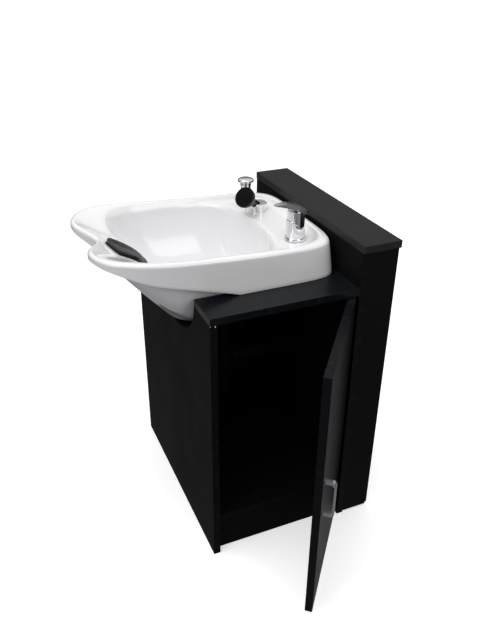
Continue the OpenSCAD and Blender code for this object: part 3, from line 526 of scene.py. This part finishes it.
def eased(points, sigma):
    """The open line resampled evenly and its corners rounded; the ends stay."""
    pts = [Vector(p) for p in points]
    run = [0.0]
    for a, b in zip(pts, pts[1:]):
        run.append(run[-1] + (b - a).length)
    count = 46
    even, k = [], 0
    for i in range(count + 1):
        s = run[-1] * i / count
        while k < len(run) - 2 and run[k + 1] < s:
            k += 1
        t = (s - run[k]) / max(1e-9, run[k + 1] - run[k])
        even.append(pts[k].lerp(pts[k + 1], clamp(t)))
    gap = run[-1] / count
    reach = int(3 * sigma / gap) + 1
    out = []
    for i in range(count + 1):
        w_sum, p_sum = 0.0, Vector((0, 0, 0))
        own = min(i, count - i, reach)
        for j in range(-own, own + 1):
            w = math.exp(-((j * gap / sigma) ** 2) / 2)
            w_sum += w
            p_sum += even[i + j] * w
        out.append(p_sum / w_sum)
    return [tuple(p) for p in out]


def section(th):
    """The bowl cut at one angle: a closed line from the drain, under the hull, over the rim and back."""
    hr, o0, rr, br = hull_ring(th), skirt_ring(th, 0, 10), rim_ring(th), basin_ring(th)
    d0, d1 = drain_at(th, 40), drain_at(th, 36)
    hz, cz, rz = hem_z(o0), crest_z(skirt_ring(th, 8, 8)), inner_z(rr)
    deep = clamp((wall_h(th) - 35) / 40)
    lean, f = lean_at(th), arris(th)
    pz = mix(hz + 0.5, rz - 26, deep)
    out = [(*drain_at(th, r), HULL_Z - dz)
           for r, dz in ((24, 12), (36, 12), (37, 11.4), (38, 4), (38.6, 1.4))]
    for i in range(1, 31):
        u = sin(90 * (0.05 + 0.95 * i / 30))
        out.append((*mix(d0, hr, u), mix(HULL_Z, pz, climb(u, th))))
    for v in (0.45, 1):
        out.append((*mix(hr, skirt_ring(th, 10, 9.5), v), pz))
    out.append((*skirt_ring(th, 8, 9.5), hz + 0.6))
    out.append((*skirt_ring(th, 7, 9.6), hz))
    for a in (0, 45, 90):
        out.append((*skirt_ring(th, 1.2 - 1.2 * sin(a), 10), hz + 1.2 - 1.2 * cos(a)))
    for i in range(1, 9):
        v = i / 9
        out.append((*skirt_ring(th, lean * v, 10 - 3 * v), mix(hz + 1.2, cz - f, v)))
    for i in range(11):
        a = 9 * i
        out.append((*skirt_ring(th, lean + f * (1 - cos(a)), 7 - a / 90), cz - f + f * sin(a)))
    for i in range(1, 24):
        out.append(saddle(th, i / 24))
    tail = [saddle(th, 1 + fillet_v(th) * i / 8) for i in range(9)]
    for i in range(41):
        u = 1 - 0.79 * (i / 40) ** 1.6
        tail.append((*mix(d1, br, u), mix(HULL_Z + 14, rz - 13, climb(u, th))))
    out += eased(tail, 5.0)
    out += [(*drain_at(th, r), HULL_Z + dz) for r, dz in ((34.5, 12.5), (33.6, 11.2), (33, 9), (24, 9))]
    return out


def bowl_angles():
    front = [-90 + 34 * i / 44 for i in range(44)]
    side = [-56 + 146 * i / 76 for i in range(77)]
    half = front + side
    return half + [180 - a for a in reversed(half[1:-1])]


def make_bowl():
    angles = bowl_angles()
    rings = [section(th) for th in angles]
    m = len(rings[0])
    lo, hi = bowl_lo * MM, bowl_hi * MM
    verts = [tuple(min(h, max(l, c * MM)) for c, l, h in zip(p, lo, hi)) for ring in rings for p in ring]
    faces = []
    for i in range(len(rings)):
        k = (i + 1) % len(rings)
        for j in range(m):
            n = (j + 1) % m
            faces.append((i * m + j, k * m + j, k * m + n, i * m + n))
    me = bpy.data.meshes.new("wash_bowl_glazed")
    me.from_pydata(verts, [], faces)
    me.polygons.foreach_set("use_smooth", [True] * len(me.polygons))
    me.set_sharp_from_angle(angle=rad(38))
    me.materials.append(glaze_mat)
    me.update()
    o = add_object("wash_bowl_glazed", me)
    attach(o, "cabinet")
    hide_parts("wash_bowl")


make_bowl()


# ------------------------------------------------------------------ neck rest
def make_rest():
    """A crowned rubber pad moulded to the dip in the rim, with rolled edges and a parting bead."""
    us, vs = 72, 36
    lo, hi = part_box("neck_rest")

    def place(u, b, side):
        q = Vector(saddle(-90 + 14 * u, mix(0.08 + 0.5 * math.sqrt(u * u + 0.015), 1.5, min(1, b / 0.8))))
        over = max(0, b - 0.8) / 0.2
        crown = math.sqrt(max(0, 1 - abs(u) ** 7)) * math.sqrt(max(0, 1 - abs(2 * b - 1) ** 7))
        bead = 0.5 * bell(crown - 0.5, 0.12, 2)
        return Vector((q.x, q.y + 11 * over, q.z + 1.6 - 7 * over ** 1.6 + side * (0.2 + 7.2 * crown + bead)))

    verts, faces = [], []
    for side in (1, 0):
        for i in range(us + 1):
            for j in range(vs + 1):
                # closer points where the surface turns over at the edges
                u = -cos(180 * i / us)
                b = 0.5 - 0.5 * cos(180 * j / vs)
                verts.append(place(u, b, side) * MM)
    k, m = (us + 1) * (vs + 1), vs + 1
    for i in range(us):
        for j in range(vs):
            a, b, c, d = i * m + j, i * m + j + 1, (i + 1) * m + j + 1, (i + 1) * m + j
            faces.append((a, b, c, d))
            faces.append((k + a, k + d, k + c, k + b))
    rim = [i * m for i in range(us + 1)] + [us * m + j for j in range(1, vs + 1)]
    rim += [i * m + vs for i in range(us - 1, -1, -1)] + [j for j in range(vs - 1, 0, -1)]
    for a, b in zip(rim, rim[1:] + rim[:1]):
        faces.append((a, b, k + b, k + a))
    verts = [tuple(min(h, max(l, c)) for c, l, h in zip(p, lo, hi)) for p in verts]
    me = bpy.data.meshes.new("neck_rest_pad")
    me.from_pydata(verts, [], faces)
    bm = bmesh.new()
    bm.from_mesh(me)
    bmesh.ops.recalc_face_normals(bm, faces=bm.faces)
    bm.to_mesh(me)
    bm.free()
    me.polygons.foreach_set("use_smooth", [True] * len(me.polygons))
    me.materials.append(rest_mat)
    o = add_object("neck_rest_pad", me)
    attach(o, "cabinet")
    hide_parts("neck_rest")


make_rest()


# ------------------------------------------------------------------ studio
def lamp(name, at, aim, size, power):
    data = bpy.data.lights.new(name, "AREA")
    data.shape = "RECTANGLE"
    data.size, data.size_y = size
    data.energy = power
    o = add_object(name, data)
    o.location = at
    o.rotation_euler = (Vector(aim) - Vector(at)).to_track_quat("-Z", "Y").to_euler()


def make_studio():
    me = bpy.data.meshes.new("floor")
    r, z = 9.0, -0.6 * MM  # half the floor's side, and just under the plinth's foot
    me.from_pydata([(-r, -r, z), (r, -r, z), (r, r, z), (-r, r, z)], [], [(0, 1, 2, 3)])
    s = Shader("studio_floor", (0.93, 0.93, 0.93), 0.9, Specular_IOR_Level=0.05, Emission_Strength=0.46)
    s.bsdf.inputs["Emission Color"].default_value = (1, 1, 1, 1)
    s.color(s.blend(s.noise(1.3, 2), (0.93, 0.93, 0.93), (0.95, 0.95, 0.95)))
    me.materials.append(s.mat)
    ground = add_object("floor", me)
    # seen by the camera, but throwing no light back up at the part
    ground.visible_diffuse = ground.visible_glossy = False
    lamp("key", (0.2, -0.9, 2.9), (0, -0.25, 0.6), (1.7, 1.7), 25)
    lamp("side", (2.6, 0.5, 1.9), (0, -0.1, 0.5), (1.2, 1.6), 13)
    lamp("front", (0.9, -2.8, 1.6), (0, -0.2, 0.6), (1.6, 1.4), 11)
    world = bpy.data.worlds.new("studio")
    bpy.context.scene.world = world
    world.use_nodes = True
    nt = world.node_tree
    back = nt.nodes["Background"]
    where = nt.nodes.new("ShaderNodeTexCoord")
    axes = nt.nodes.new("ShaderNodeSeparateXYZ")
    ramp = nt.nodes.new("ShaderNodeValToRGB")
    lift = nt.nodes.new("ShaderNodeMapRange")
    lift.inputs[1].default_value = -1.0
    path = nt.nodes.new("ShaderNodeLightPath")
    white = nt.nodes.new("ShaderNodeBackground")
    white.inputs[0].default_value = (1, 1, 1, 1)
    white.inputs[1].default_value = 1.05
    choose = nt.nodes.new("ShaderNodeMixShader")
    # grey below, a dark band at the horizon for the chrome to mirror, white above
    ramp.color_ramp.elements[0].position = 0.30
    ramp.color_ramp.elements[0].color = (0.30, 0.30, 0.31, 1)
    ramp.color_ramp.elements[1].position = 1.0
    ramp.color_ramp.elements[1].color = (1.0, 1.0, 1.0, 1)
    for place, level in ((0.50, 0.05), (0.63, 0.07), (0.70, 0.75)):
        ramp.color_ramp.elements.new(place).color = (level, level, level * 1.02, 1)
    nt.links.new(where.outputs["Generated"], axes.inputs[0])
    nt.links.new(axes.outputs[2], lift.inputs[0])
    nt.links.new(lift.outputs[0], ramp.inputs[0])
    nt.links.new(ramp.outputs[0], back.inputs[0])
    back.inputs[1].default_value = 0.85
    nt.links.new(path.outputs["Is Camera Ray"], choose.inputs[0])
    nt.links.new(back.outputs[0], choose.inputs[1])
    nt.links.new(white.outputs[0], choose.inputs[2])
    nt.links.new(choose.outputs[0], nt.nodes["World Output"].inputs[0])
    bpy.context.scene.view_settings.view_transform = "Standard"


make_studio()

# ------------------------------------------------------------------ camera
azimuth, elevation, roll = rad(66.726), rad(29.814), rad(0.345)
forward = Vector((-math.sin(azimuth) * math.cos(elevation), math.cos(azimuth) * math.cos(elevation),
                  -math.sin(elevation)))
right = forward.cross(Vector((0, 0, 1))).normalized()
up = right.cross(forward)
right, up = (right * math.cos(roll) + up * math.sin(roll), up * math.cos(roll) - right * math.sin(roll))
camera = add_object("camera", bpy.data.cameras.new("camera"))
camera.matrix_world = Matrix.Translation((1.53917, -0.85648, 1.50276)) @ Matrix(
    (right, up, -forward)).transposed().to_4x4()
camera.data.sensor_width = 36
camera.data.lens = 38.219
bpy.context.scene.camera = camera
